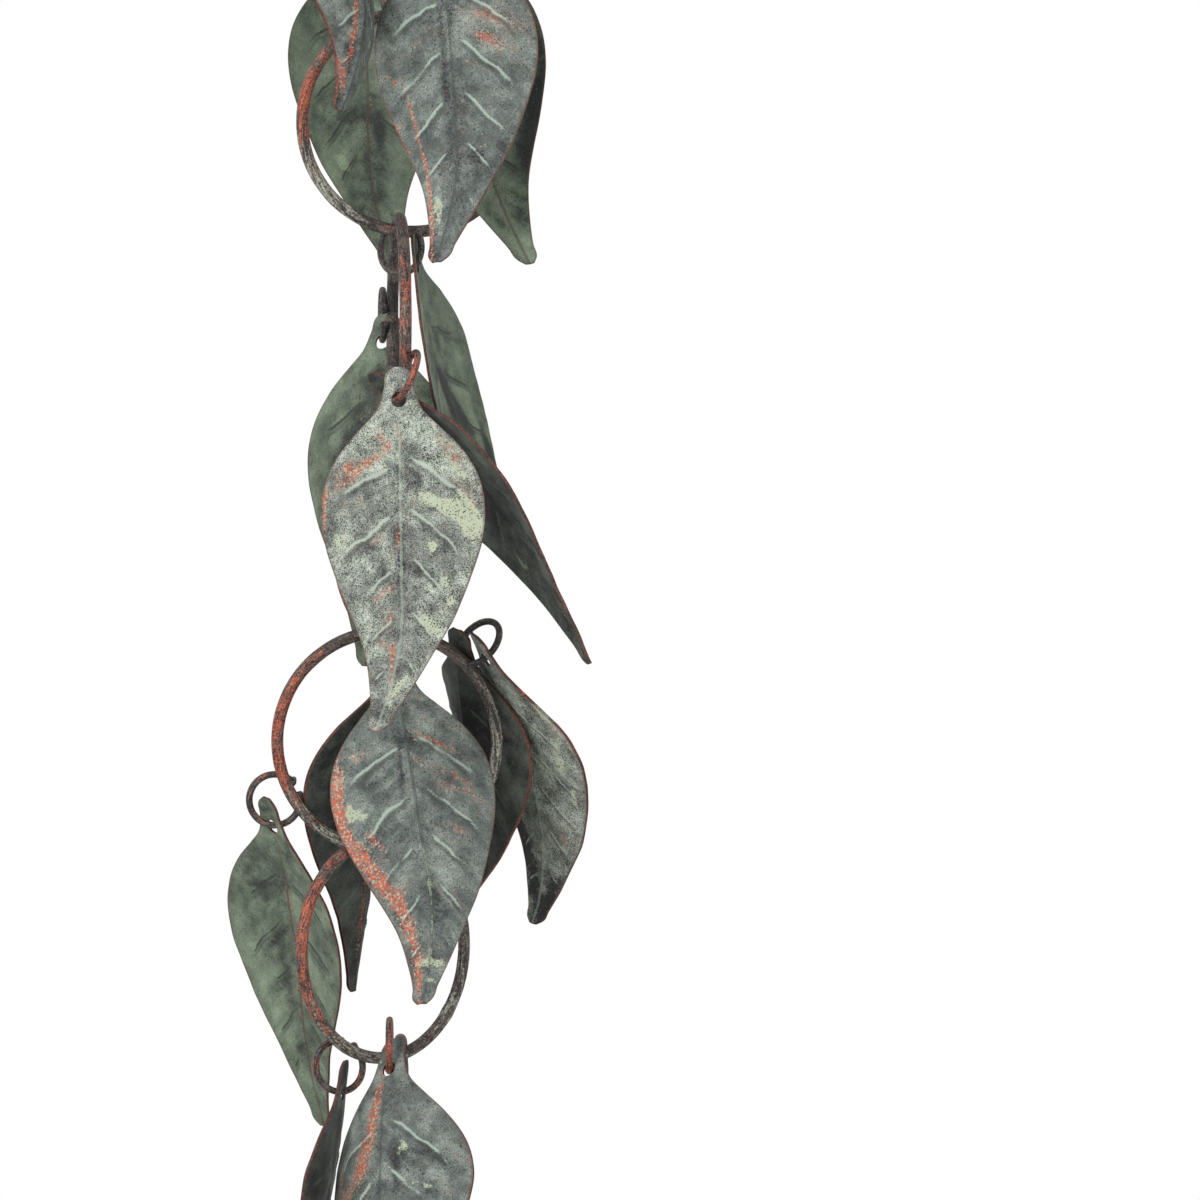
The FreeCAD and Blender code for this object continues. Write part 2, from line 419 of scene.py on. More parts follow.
@dataclass(frozen=True)
class LeafFace:
    """Patina of one face of a leaf."""

    name: str
    deep: Colour
    body: Colour
    light: Colour
    pale: Colour
    copper: Colour
    vein: Colour
    rib: Colour
    salt: float
    body_zone: float
    light_zone: float
    pale_zone: float
    copper_zone: float
    vein_share: float
    rib_share: float
    soft: float

    def veins(self, bench: Bench, across: bpy.types.NodeSocket, along: bpy.types.NodeSocket,
              half: bpy.types.NodeSocket) -> tuple[bpy.types.NodeSocket, ...]:
        """Return where the veins run.

        Args:
            bench: The finish's workbench.
            across: Place across the leaf.
            along: Place down from the tab.
            half: Half width there.

        Returns:
            The veins, the painted shadow along their lower sides, the midrib and the place square to the
            veins.
        """
        reach = bench.size(across)
        side = bench.sum("SIGN", across)
        arch = bench.times(bench.plus(side, VEINS.lopside), VEINS.arch)
        fall = bench.plus(bench.plus(bench.times(reach, arch), VEINS.slope),
                         bench.times(along, VEINS.spread))
        wander = bench.times(bench.field(110, 2), 1.6)
        run = bench.minus(along, bench.times(reach, fall))
        run = bench.plus(bench.plus(run, bench.times(side, VEINS.stagger / 2)), wander)
        turn = bench.sum("DIVIDE", bench.minus(run, VEINS.first), VEINS.pitch)
        gap = bench.times(bench.minus(turn, bench.sum("ROUND", turn)), VEINS.pitch)
        inside = bench.sum("DIVIDE", reach, half)
        part = bench.times(bench.grade(reach, 1.6, 4.2), bench.grade(inside, 0.6, 0.9, 1.0, 0.0))
        part = bench.times(part, bench.grade(turn, -0.5, -0.2))
        part = bench.times(part, bench.grade(turn, VEINS.count - 0.9, VEINS.count - 0.4, 1.0, 0.0))
        part = bench.times(part, bench.grade(bench.field(85, 2), -0.5, 0.0, 0.35, 1.0))
        line = bench.times(bench.grade(bench.size(gap), 0.0, 1.0, 1.0, 0.0), part)
        # Painted shadow: a dark band just below each vein.
        vein_shadow = bench.size(bench.minus(gap, 1.25))
        vein_shadow = bench.times(bench.grade(vein_shadow, 0.1, 1.1, 1.0, 0.0), part)
        rib = bench.times(bench.grade(reach, 0.1, 0.7, 1.0, 0.0), bench.grade(along, 10.0, 20.0))
        return line, vein_shadow, rib, run

    def make(self) -> bpy.types.Material:
        """Build the finish.

        Returns:
            Its material.
        """
        bench = Bench(self.name)
        flat = bench.tree.nodes.new("ShaderNodeSeparateXYZ")
        bench.link(bench.stored("flat", "Vector"), flat.inputs[0])
        across, along, half = flat.outputs
        line, vein_shadow, rib, run = self.veins(bench, across, along, half)
        rim = bench.grade(bench.minus(half, bench.size(across)), 0.1, 0.6, 1.0, 0.0)

        grain = bench.cloud(1500, 2.0, 0.7)
        salt = bench.around(grain)
        pepper = bench.field(2300, 1.0, 0.6)
        cloud, blotch = bench.field(70, 4, 0.55, 0.5), bench.field(230, 5, 0.62, 0.3)
        lay = bench.spot(run, bench.times(across, 0.3), bench.stored("own"))
        streak = bench.field(0.3, 4, 0.6, 0.4, lay)

        # Painted shade: darker near the midrib crease and wherever the stored shade strokes lie; below nought
        # they paint light.
        rib_crease_shade = bench.grade(bench.size(across), 0.0, 7.0, 1.0, 0.0)
        shade = bench.total((bench.stored("shade"), -0.9), (rib_crease_shade, -0.18))
        zone = bench.total((cloud, 1.0), (blotch, 0.6), (salt, 0.9 * self.salt), (shade, 1.0))
        share = bench.grade(zone, -self.soft - self.body_zone, self.soft - self.body_zone)
        colour = bench.blend(share, self.deep, self.body)
        zone = bench.total((bench.field(95, 3, 0.5, 0.4), 0.9), (pepper, 0.8 * self.salt),
                           (streak, 0.4), (shade, 1.0))
        share = bench.grade(zone, 0.05 - self.soft - self.light_zone, self.soft - self.light_zone)
        colour = bench.blend(share, colour, self.light)
        pits = bench.total((pepper, 1.3 * self.salt), (salt, 1.0 * self.salt), (blotch, 0.3), (1.0, 1.0))
        pits = bench.sum("MAXIMUM", pits, 0.2)
        colour = bench.blend(1.0, colour, bench.spot(pits, pits, pits), "MULTIPLY")
        zone = bench.total((bench.field(100, 7, 0.58, 0.7), 1.0), (bench.stored("pale"), 1.0),
                           (salt, 0.35 * self.salt))
        pale = bench.grade(zone, -0.08 - self.pale_zone, 0.12 - self.pale_zone)
        colour = bench.blend(pale, colour, self.pale)
        zone = bench.total((pepper, 1.0), (salt, 0.5), (blotch, -0.4), (pale, -0.12))
        speck = bench.grade(zone, 0.08, 0.24)
        colour = bench.blend(bench.times(speck, self.salt), colour, self.deep)
        zone = bench.total((streak, 0.6), (bench.field(420, 5, 0.7, 0.6), 0.5), (pepper, 0.7), (salt, 0.4),
                           (bench.stored("copper"), 1.0), (rim, 0.15))
        bare = bench.grade(zone, -0.16 - self.copper_zone, 0.26 - self.copper_zone)
        dots = bench.grade(bench.field(1500, 1.5), -0.02, 0.3, 0.0, 0.7)
        dotted = bench.blend(dots, self.copper, self.pale)
        holes = bench.grade(bench.field(1250, 2.0, 0.6, 0.3), -0.3, 0.0, 0.15, 1.0)
        bare = bench.times(bare, holes)
        colour = bench.blend(bench.times(bare, 0.92), colour, dotted)
        # Painted shadow below each vein, in the deep colour.
        colour = bench.blend(bench.times(vein_shadow, 0.6 * self.vein_share), colour, self.deep)
        broken = bench.grade(bench.total((line, 1.0), (salt, 0.4), (blotch, 0.25)), 0.25, 0.95)
        colour = bench.blend(bench.times(broken, self.vein_share), colour, self.vein)
        broken = bench.grade(bench.total((rib, 1.0), (salt, 0.3), (blotch, 0.5)), 0.2, 0.9)
        rib_colour = bench.blend(bench.grade(along, 0.0, 10.0), self.deep, self.rib)
        colour = bench.blend(bench.times(broken, self.rib_share), colour, rib_colour)
        colour = bench.blend(bench.times(rim, 0.6), colour, (0.13, 0.055, 0.04))
        normal = bench.dent(blotch, 0.22 * MM, 0.5)
        normal = bench.dent(grain, 0.1 * MM, 0.6, normal)
        rough = bench.minus(0.74, bench.times(bare, 0.2))
        return bench.finish(colour, rough, bench.times(bare, 0.25), normal)


class Face(Enum):
    """The patinas that leaf faces have; the darkest is a copy of the sage, partly darker patina and partly
    painted shade.
    """

    SPECKLED = LeafFace(
        "leaf_speckled", deep=(0.03, 0.029, 0.031), body=(0.235, 0.255, 0.225), light=(0.46, 0.51, 0.43),
        pale=(0.46, 0.51, 0.37), copper=(0.44, 0.1, 0.052), vein=(0.45, 0.53, 0.43), rib=(0.4, 0.47, 0.39),
        salt=0.95, body_zone=0.45, light_zone=0.15, pale_zone=-0.55, copper_zone=-0.5, vein_share=0.75,
        rib_share=0.35, soft=0.4)
    SLATE = LeafFace(
        "leaf_slate", deep=(0.028, 0.03, 0.031), body=(0.122, 0.144, 0.133), light=(0.285, 0.325, 0.288),
        pale=(0.41, 0.46, 0.33), copper=(0.42, 0.09, 0.046), vein=(0.38, 0.47, 0.39), rib=(0.045, 0.05, 0.05),
        salt=0.75, body_zone=0.42, light_zone=-0.05, pale_zone=-0.6, copper_zone=-0.5, vein_share=0.8,
        rib_share=0.55, soft=0.52)
    SAGE = LeafFace(
        "leaf_sage", deep=(0.03, 0.035, 0.031), body=(0.105, 0.135, 0.098), light=(0.21, 0.265, 0.185),
        pale=(0.27, 0.34, 0.22), copper=(0.22, 0.05, 0.035), vein=(0.035, 0.044, 0.036),
        rib=(0.07, 0.028, 0.022), salt=0.45, body_zone=0.24, light_zone=0.02, pale_zone=-0.75,
        copper_zone=-0.6, vein_share=0.9, rib_share=0.5, soft=0.6)
    # A darker copy of the sage patina for leaves lying in shade behind others: partly their own dark patina,
    # partly painted shade.
    DUSK = LeafFace(
        "leaf_sage_dark_and_shaded", deep=(0.018, 0.019, 0.02), body=(0.06, 0.067, 0.057), light=(0.13, 0.15, 0.12),
        pale=(0.19, 0.24, 0.17), copper=(0.2, 0.048, 0.033), vein=(0.14, 0.18, 0.14), rib=(0.04, 0.03, 0.026),
        salt=0.45, body_zone=0.1, light_zone=-0.15, pale_zone=-0.75, copper_zone=-0.6, vein_share=0.45,
        rib_share=0.4, soft=0.5)


@dataclass(frozen=True)
class WireFinish:
    """Patina of a round wire."""

    name: str
    dark: Colour
    brown: Colour
    copper: Colour
    chalk: Colour

    def make(self) -> bpy.types.Material:
        """Build the finish.

        Returns:
            Its material.
        """
        bench = Bench(self.name)
        lay = bench.stored("lay", "Vector")
        streak, fibre = bench.field(0.9, 4, 0.6, 0.3, lay), bench.field(2.6, 4, 0.65, 0.2, lay)
        salt, pepper = bench.field(1500, 3, 0.7), bench.field(2400, 1, 0.6)
        zone = bench.total((bench.field(110, 4, 0.6, 0.4), 0.8), (fibre, 0.6), (salt, 0.6))
        colour = bench.blend(bench.grade(zone, -0.3, 0.35), self.dark, self.brown)
        zone = bench.total((streak, 0.7), (fibre, 0.5), (salt, 0.4), (bench.stored("pale"), 1.0))
        colour = bench.blend(bench.grade(zone, 0.25, 0.75, 0.0, 0.85), colour, self.chalk)
        zone = bench.total((streak, -0.6), (bench.field(190, 3, 0.6), 0.5), (fibre, 0.4), (pepper, 0.4),
                           (bench.stored("copper"), 1.0))
        bare = bench.grade(zone, 0.3, 0.75)
        colour = bench.blend(bench.times(bare, 0.9), colour, self.copper)
        pits = bench.sum("MAXIMUM", bench.total((fibre, 0.8), (pepper, 0.9), (salt, 0.7), (1.0, 1.0)), 0.2)
        colour = bench.blend(1.0, colour, bench.spot(pits, pits, pits), "MULTIPLY")
        normal = bench.dent(fibre, 0.14 * MM, 0.7)
        normal = bench.dent(salt, 0.05 * MM, 0.6, normal)
        rough = bench.minus(0.62, bench.times(bare, 0.2))
        return bench.finish(colour, rough, bench.plus(0.1, bench.times(bare, 0.3)), normal)


@dataclass(frozen=True)
class Streak:
    """A place along a wire, in degrees, where bare copper or chalky dust gathers."""

    angle: float
    spread: float
    copper: float = 0.0
    pale: float = 0.0

    def share(self, angle: np.ndarray) -> np.ndarray:
        """Return how much of the streak lies at each angle, given in degrees."""
        away = (angle - self.angle + 180) % 360 - 180
        return np.exp(-(away / self.spread) ** 2)


@dataclass
class MainRing:
    """A main ring of round wire."""

    name: str
    turn: float
    streaks: tuple[Streak, ...] = ()
    inside: float = 54.6
    wire: float = 3.2
    unevenness: float = 0.035
    seam: float = 128.0
    seam_spread: float = 3.2
    seam_swell: float = 0.1

    def axes(self) -> tuple[Vector, Vector]:
        """Return the ring's sideways axis and its normal."""
        turn = math.radians(self.turn)
        return Vector((math.cos(turn), math.sin(turn), 0)), Vector((math.sin(turn), -math.cos(turn), 0))

    def centre(self) -> Vector:
        """Return the ring's centre, from its solid."""
        low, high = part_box(self.name)
        return (Vector(low) + Vector(high)) / 2

    def middle(self) -> float:
        """Return the radius of the wire's middle line in metres."""
        return (self.inside + self.wire) / 2 * MM

    def build(self, finish: bpy.types.Material) -> bpy.types.Object:
        """Build and dress the ring.

        Args:
            finish: The wire's finish.

        Returns:
            The ring.
        """
        bare_selection()
        bpy.ops.mesh.primitive_torus_add(major_segments=168, minor_segments=22, major_radius=self.middle(),
                                         minor_radius=self.wire / 2 * MM)
        piece = take_active(f"{self.name}_wire")
        points = read_points(piece.data)
        angle = np.degrees(np.arctan2(points[:, 0], points[:, 1]))
        reach = np.hypot(points[:, 0], points[:, 1])
        core = np.stack([points[:, 0] / reach, points[:, 1] / reach, 0 * reach], 1) * self.middle()
        swell = np.array([noise.noise(Vector(point) * 260 + Vector((self.turn, 3, 7))) for point in points])
        seam = np.exp(-((angle - self.seam) / self.seam_spread) ** 2)
        write_lay(piece.data, self.middle(), self.turn + 40 * float(self.name[-1]))
        girth = 1 + self.unevenness * swell + self.seam_swell * seam
        write_points(piece.data, core + (points - core) * girth[:, None])
        for key in ("copper", "pale"):
            amount = sum(getattr(streak, key) * streak.share(angle) for streak in self.streaks)
            write_field(piece.data, key, np.zeros(len(points)) + amount)
        sideways, normal = self.axes()
        turned = Matrix((sideways, (0, 0, 1), normal)).transposed().to_4x4()
        settle(piece, Matrix.Translation(self.centre()) @ turned)
        dress(piece, [finish], self.name)
        return piece


@dataclass
class LeafLoop:
    """A small open loop of thin wire, brazed to a main ring."""

    name: str
    ring: MainRing
    clock: float
    twist: float = 0.0
    side: float = 0.0
    mouth: float = 34.0
    stand: float = 4.6
    copper: float = 0.1
    inside: float = 11.6
    wire: float = 1.8
    bite: float = 0.15
    braze: float = 1.22
    braze_bumps: float = 0.28

    def middle(self) -> float:
        """Return the radius of the wire's middle line in metres."""
        return (self.inside + self.wire) / 2 * MM

    def axes(self) -> tuple[Vector, Vector, Vector]:
        """Work out how the loop stands on its ring.

        Returns:
            The loop's centre, its outward axis and its second axis.
        """
        sideways, normal = self.ring.axes()
        clock, twist = math.radians(self.clock), math.radians(self.twist)
        outward = sideways * math.sin(clock) + Vector((0, 0, math.cos(clock)))
        onward = sideways * math.cos(clock) - Vector((0, 0, math.sin(clock)))
        second = onward * math.cos(twist) + normal * math.sin(twist)
        lift = ((self.ring.wire + self.wire) / 2 - self.bite) * self.side
        centre = self.ring.centre() + outward * (self.ring.middle() + self.stand * MM) + normal * (lift * MM)
        return centre, outward, second

    def seat(self, slide: float) -> tuple[Vector, Vector]:
        """Return the place on the wire where a leaf hangs, and the wire's direction there.

        Args:
            slide: Degrees from the loop's lowest point, towards the back.

        Returns:
            The place and the direction.
        """
        centre, outward, second = self.axes()
        axis = outward.cross(second)
        low = (Vector((0, 0, -1)) + axis * axis.z).normalized()
        side = axis.cross(low)
        if side.y < 0:
            side = -side
        angle = math.radians(slide)
        towards = low * math.cos(angle) + side * math.sin(angle)
        return centre + towards * self.middle(), axis.cross(towards)

    def lump(self, place: Vector, seed: float) -> bpy.types.Object:
        """Return a lump of braze.

        Args:
            place: Where it sits, in the loop's own frame.
            seed: Where its bumps are read.

        Returns:
            The lump.
        """
        bare_selection()
        bpy.ops.mesh.primitive_ico_sphere_add(subdivisions=4, radius=self.braze * MM, location=place)
        piece = bpy.context.active_object
        settle(piece, Matrix.Translation(place))
        for vertex in piece.data.vertices:
            out = vertex.co - place
            bump = noise.noise(out * 900 + Vector((seed, 0, seed)))
            vertex.co = place + out * (1 + self.braze_bumps * bump)
        return piece

    def build(self, finish: bpy.types.Material) -> bpy.types.Object:
        """Build and dress the loop.

        Args:
            finish: The wire's finish.

        Returns:
            The loop.
        """
        bare_selection()
        bpy.ops.mesh.primitive_torus_add(major_segments=96, minor_segments=16, major_radius=self.middle(),
                                         minor_radius=self.wire / 2 * MM)
        piece = take_active(f"{self.name}_wire")
        gap = math.radians(180 - self.mouth / 2)
        bpy.ops.object.mode_set(mode="EDIT")
        bpy.ops.mesh.select_all(action="DESELECT")
        bpy.ops.object.mode_set(mode="OBJECT")
        for vertex in piece.data.vertices:
            vertex.select = abs(math.atan2(vertex.co.y, vertex.co.x)) > gap
        bpy.ops.object.mode_set(mode="EDIT")
        bpy.ops.mesh.delete(type="VERT")
        bpy.ops.mesh.select_all(action="SELECT")
        bpy.ops.mesh.fill_holes(sides=0)
        bpy.ops.object.mode_set(mode="OBJECT")
        lumps = []
        for sign in (-1, 1):
            end = sign * (gap - 0.02)
            place = Vector((math.cos(end), math.sin(end), 0)) * self.middle()
            lumps.append(self.lump(place, self.clock + sign))
        pick(piece, *lumps)
        bpy.ops.object.join()
        count = len(piece.data.vertices)
        write_lay(piece.data, self.middle(), self.clock)
        write_field(piece.data, "copper", np.full(count, self.copper))
        write_field(piece.data, "pale", np.zeros(count))
        centre, outward, second = self.axes()
        place = Matrix((outward, second, outward.cross(second))).transposed().to_4x4()
        settle(piece, Matrix.Translation(centre) @ place)
        dress(piece, [finish], self.name)
        return piece


@dataclass(frozen=True)
class PhotoView:
    """How the photograph sees the chain: level, from the front."""

    scale: float = 3.8
    frame_px: float = 1200.0
    hang_px: Pixel = (408.0, -395.0)
    distance: float = 2.0
    sensor: float = 36.0
    touch_px: float = 2.0

    def eye(self) -> Vector:
        """Return the camera's place in metres."""
        middle = self.frame_px / 2
        return Vector(((middle - self.hang_px[0]) / self.scale * MM, -self.distance,
                       (self.hang_px[1] - middle) / self.scale * MM))

    def lens(self) -> float:
        """Return the camera's focal length in millimetres."""
        return self.sensor * self.distance / (self.frame_px / self.scale * MM)

    def pixels(self, points: np.ndarray) -> np.ndarray:
        """Find where points show in the photograph.

        Args:
            points: Rows of x, y, z in metres.

        Returns:
            Rows of pixels, across and down.
        """
        away = points - np.array(self.eye())
        reach = self.scale / MM * self.distance / away[:, 1]
        return self.frame_px / 2 + np.stack([away[:, 0] * reach, -away[:, 2] * reach], 1)


VIEW = PhotoView()


@dataclass(frozen=True)
class Patch:
    """A place on a leaf where bare copper, pale patina and painted shade gather, in millimetres from its
    middle line and its tab.
    """

    across: float
    along: float
    wide: float
    long: float
    turn: float = 0.0
    copper: float = 0.0
    pale: float = 0.0
    shade: float = 0.0

    def share(self, flat: np.ndarray) -> np.ndarray:
        """Work out how much of the patch lies at each place.

        Args:
            flat: Rows that start with the place across and along the flat leaf.

        Returns:
            Shares from 0 to 1.
        """
        turn = math.radians(self.turn)
        aside, ahead = flat[:, 0] - self.across, flat[:, 1] - self.along
        short = (aside * math.cos(turn) - ahead * math.sin(turn)) / self.wide
        tall = (aside * math.sin(turn) + ahead * math.cos(turn)) / self.long
        return np.exp(-short ** 2 - tall ** 2)


@dataclass(frozen=True)
class Stroke:
    """A patch laid as a brush stroke, from one pixel of the photograph to another."""

    start: Pixel
    end: Pixel
    width: float
    copper: float = 0.0
    pale: float = 0.0
    shade: float = 0.0

    def patch(self, points: np.ndarray, seen: np.ndarray, flat: np.ndarray) -> Patch:
        """Find the place on the leaf that the stroke covers.

        Args:
            points: The hung leaf's points.
            seen: Their pixels in the photograph.
            flat: Their places on the flat leaf.

        Returns:
            The patch.
        """
        ends = []
        for spot in (self.start, self.end):
            away = np.hypot(*(seen - spot).T)
            near = np.flatnonzero(away < away.min() + VIEW.touch_px)
            ends.append(flat[near[np.argmin(points[near, 1])]])
        middle, half = (ends[0] + ends[1]) / 2, (ends[1] - ends[0]) / 2
        wide = self.width / VIEW.scale
        turn = math.degrees(math.atan2(half[0], half[1]))
        return Patch(middle[0], middle[1], wide, math.hypot(half[0], half[1]) + wide, turn,
                     self.copper, self.pale, self.shade)


@dataclass
class LeafBlank:
    """The flat, fine blank that every leaf is bent from."""

    length: float = 94.0
    width: float = 43.2
    sheet: float = 0.7
    bore: float = 4.0
    drop: float = 8.5
    burr: float = 0.16
    columns: int = 52
    rows: int = 122
    outline: tuple[tuple[float, float], ...] = (
        (0.00, 0.07), (0.012, 0.135), (0.06, 0.19), (0.12, 0.29), (0.16, 0.46), (0.21, 0.68), (0.29, 0.91),
        (0.38, 1.00), (0.47, 0.97), (0.58, 0.82), (0.69, 0.62), (0.79, 0.41), (0.88, 0.26), (0.95, 0.155),
        (0.988, 0.11), (1.00, 0.055))

    def half_width(self, share: np.ndarray) -> np.ndarray:
        """Return the half width of the leaf in millimetres.

        Args:
            share: Shares of the length from the tab down.

        Returns:
            Half widths.
        """
        stations = np.array(self.outline)
        knots, widths = stations[:, 0], stations[:, 1]
        slopes = np.gradient(widths, knots)
        index = np.clip(np.searchsorted(knots, share) - 1, 0, len(knots) - 2)
        step = knots[index + 1] - knots[index]
        t = np.clip((share - knots[index]) / step, 0, 1)
        curve = ((2 * t ** 3 - 3 * t ** 2 + 1) * widths[index]
                 + (t ** 3 - 2 * t ** 2 + t) * step * slopes[index]
                 + (3 * t ** 2 - 2 * t ** 3) * widths[index + 1]
                 + (t ** 3 - t ** 2) * step * slopes[index + 1])
        return curve * self.width / 2

    def build(self) -> bpy.types.Object:
        """Cut the blank: a flat sheet in the outline of the leaf, with its hole.

        Returns:
            The blank.
        """
        bare_selection()
        bpy.ops.mesh.primitive_grid_add(x_subdivisions=self.columns, y_subdivisions=self.rows, size=2)
        piece = take_active("leaf_blank")
        points = read_points(piece.data)
        even = (1 - points[:, 1]) / 2
        share = even - 0.72 * np.sin(2 * np.pi * even) / (2 * np.pi)
        aside, down = points[:, 0] * self.half_width(share), self.drop - share * self.length
        write_points(piece.data, np.stack([aside, 0 * share, down], 1) * MM)
        thick = piece.modifiers.new("sheet", "SOLIDIFY")
        thick.thickness = self.sheet * MM
        thick.offset = 0
        apply_modifiers(piece)
        bare_selection()
        bpy.ops.mesh.primitive_cylinder_add(vertices=40, radius=self.bore / 2 * MM, depth=6 * MM,
                                            rotation=(math.pi / 2, 0, 0))
        punch = take_active("hole_punch")
        hole = piece.modifiers.new("hole", "BOOLEAN")
        hole.operation = "DIFFERENCE"
        hole.object = punch
        apply_modifiers(piece)
        bpy.data.objects.remove(punch)
        edge = piece.modifiers.new("edge", "BEVEL")
        edge.limit_method = "ANGLE"
        edge.angle_limit = math.radians(50)
        edge.width = self.burr * MM
        edge.segments = 2
        apply_modifiers(piece)
        return piece


BLANK = LeafBlank()


@dataclass
class Leaf:
    """A pressed leaf and the way it hangs and is bent, in degrees and millimetres."""

    name: str
    loop: LeafLoop
    slide: float = 0.0
    facing: float = 0.0
    lean: float = 0.0
    forward: float = 0.0
    cup: float = 7.0
    fold: float = 4.0
    bow: float = 2.0
    curl: float = 0.0
    twist: float = 0.0
    front: Face = Face.SLATE
    back: Face = Face.SAGE
    patches: tuple[Patch, ...] = ()
    strokes: tuple[Stroke, ...] = ()
    tip_sweep: float = 7.0
    tip_start: float = 0.68
    midrib: float = 0.9
    hole_play: float = 0.1
    dents: float = 0.45

    def relief(self, across: np.ndarray, along: np.ndarray, half: np.ndarray) -> np.ndarray:
        """Return how far the pressed veins stand forward, in millimetres.

        Args:
            across: Places across the leaf.
            along: Places down from the tab.
            half: Half widths there.

        Returns:
            Heights.
        """
        reach, side = np.abs(across), np.sign(across)
        fall = VEINS.slope + VEINS.spread * along + VEINS.arch * (side + VEINS.lopside) * reach
        run = along - reach * fall + side * VEINS.stagger / 2 - VEINS.first
        turn = run / VEINS.pitch
        near = (turn - np.round(turn)) * VEINS.pitch
        inside = reach / np.maximum(half, 0.5)
        part = np.clip((reach - 1.2) / 3.0, 0, 1) * np.clip((0.88 - inside) / 0.35, 0, 1)
        part = part * np.clip((turn + 0.6) / 0.3, 0, 1) * np.clip((VEINS.count - 0.4 - turn) / 0.3, 0, 1)
        puff = VEINS.puff * (1 - np.cos(2 * np.pi * turn)) / 2 * part
        rib = VEINS.rib * np.exp(-(across / VEINS.rib_half) ** 2) * np.clip((along - 9) / 8, 0, 1)
        return VEINS.ridge * np.exp(-(near / VEINS.ridge_half) ** 2) * part + puff + rib

    def bend(self, flat: np.ndarray, seed: float) -> np.ndarray:
        """Bend flat points to the leaf's form, with the hole at the origin.

        Args:
            flat: Points of the blank in millimetres.
            seed: Where the small dents are read.

        Returns:
            Bent points in millimetres.
        """
        along = BLANK.drop - flat[:, 2]
        share = np.clip(along / BLANK.length, 0, 1)

        def line(where: np.ndarray | float) -> np.ndarray | float:
            """Return how far forward the midrib stands."""
            return self.bow * 4 * where * (1 - where) + self.curl * where ** 4

        slope = (line(share + 0.001) - line(share - 0.001)) / (0.002 * BLANK.length)
        swing = np.clip((share - self.tip_start) / (1 - self.tip_start), 0, None)
        origin = np.stack([-self.tip_sweep * swing ** 1.7, line(BLANK.drop / BLANK.length) - line(share),
                           BLANK.drop - along], 1)
        ahead = np.stack([0 * share, -np.ones_like(share), slope], 1)
        ahead /= np.linalg.norm(ahead, axis=1, keepdims=True)
        turn = np.radians(self.twist * share)[:, None]
        sideways = np.array([[1.0, 0, 0]])
        across_axis = sideways * np.cos(turn) + ahead * np.sin(turn)
        normal = ahead * np.cos(turn) - sideways * np.sin(turn)
        place, half = flat[:, 0], BLANK.width / 2
        crease = np.hypot(place, self.midrib) - self.midrib
        height = -self.cup * (place / half) ** 2 - self.fold * crease / half
        height = height + self.relief(place, along, BLANK.half_width(share))
        calm = np.clip((along - 14) / 12, 0, 1)
        dents = np.array([noise.noise(Vector((x * 0.085 + seed, seed * 1.7, z * 0.07)))
                          + 0.4 * noise.noise(Vector((x * 0.24, seed, z * 0.2 + seed)))
                          for x, _, z in flat])
        height = height + self.dents * dents * calm
        return origin + across_axis * place[:, None] + normal * (height - flat[:, 1])[:, None]

    def build(self, blank: bpy.types.Object, seed: float, faces: dict[Face, bpy.types.Material],
              rim: bpy.types.Material) -> bpy.types.Object:
        """Bend a copy of the blank, hang it on its loop and dress it.

        Args:
            blank: The flat blank.
            seed: Number that makes this leaf's dents its own.
            faces: The leaf finishes.
            rim: The finish of the cut edge.

        Returns:
            The leaf.
        """
        piece = bpy.data.objects.new(f"{self.name}_sheet", blank.data.copy())
        bpy.context.collection.objects.link(piece)
        mesh = piece.data
        blank_points = read_points(mesh) / MM
        along = BLANK.drop - blank_points[:, 2]
        half = BLANK.half_width(np.clip(along / BLANK.length, 0, 1))
        flat = np.stack([blank_points[:, 0], along, half], 1)
        sides = np.empty(len(mesh.polygons) * 3)
        mesh.polygons.foreach_get("normal", sides)
        facing_y = sides.reshape(-1, 3)[:, 1]
        slots = np.where(facing_y < -0.8, 0, np.where(facing_y > 0.8, 1, 2)).astype(np.int32)
        write_field(mesh, "flat", flat)
        write_field(mesh, "own", np.full(len(flat), seed))
        write_points(mesh, self.bend(blank_points, seed) * MM)
        turned = (Matrix.Rotation(math.radians(-self.forward), 3, "X")
                  @ Matrix.Rotation(math.radians(-self.lean), 3, "Y")
                  @ Matrix.Rotation(math.radians(self.facing), 3, "Z"))
        seat, wire = self.loop.seat(self.slide)
        tilt = math.acos(min(1.0, abs((turned @ Vector((0, 1, 0))).dot(wire))))
        clear = BLANK.bore * math.cos(tilt) - BLANK.sheet * math.sin(tilt)
        drop = max(0.0, (clear - self.loop.wire) / 2 - self.hole_play) * MM
        settle(piece, Matrix.Translation(seat - turned.col[2] * drop) @ turned.to_4x4())
        points = read_points(mesh)
        seen = VIEW.pixels(points)
        patches = [*self.patches, *(stroke.patch(points, seen, flat) for stroke in self.strokes)]
        # shade is painted shade, and painted light where it is below nought.
        for key in ("copper", "pale", "shade"):
            amount = sum(getattr(patch, key) * patch.share(flat) for patch in patches)
            write_field(mesh, key, np.zeros(len(flat)) + amount)
        dress(piece, [faces[self.front], faces[self.back], rim], self.name)
        mesh.polygons.foreach_set("material_index", slots)
        return piece


def dress(piece: bpy.types.Object, finishes: list[bpy.types.Material], node: str) -> None:
    """Smooth a piece, give it its finishes and let it stand for its solid.

    Args:
        piece: The piece.
        finishes: Its materials in order.
        node: The solid that it replaces.
    """
    pick(piece)
    bpy.ops.object.shade_smooth_by_angle(angle=math.radians(50))
    piece.data.materials.clear()
    for finish in finishes:
        piece.data.materials.append(finish)
    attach(piece, "root")
    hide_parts(node)
    LOG.info("%s: %d faces", piece.name, len(piece.data.polygons))
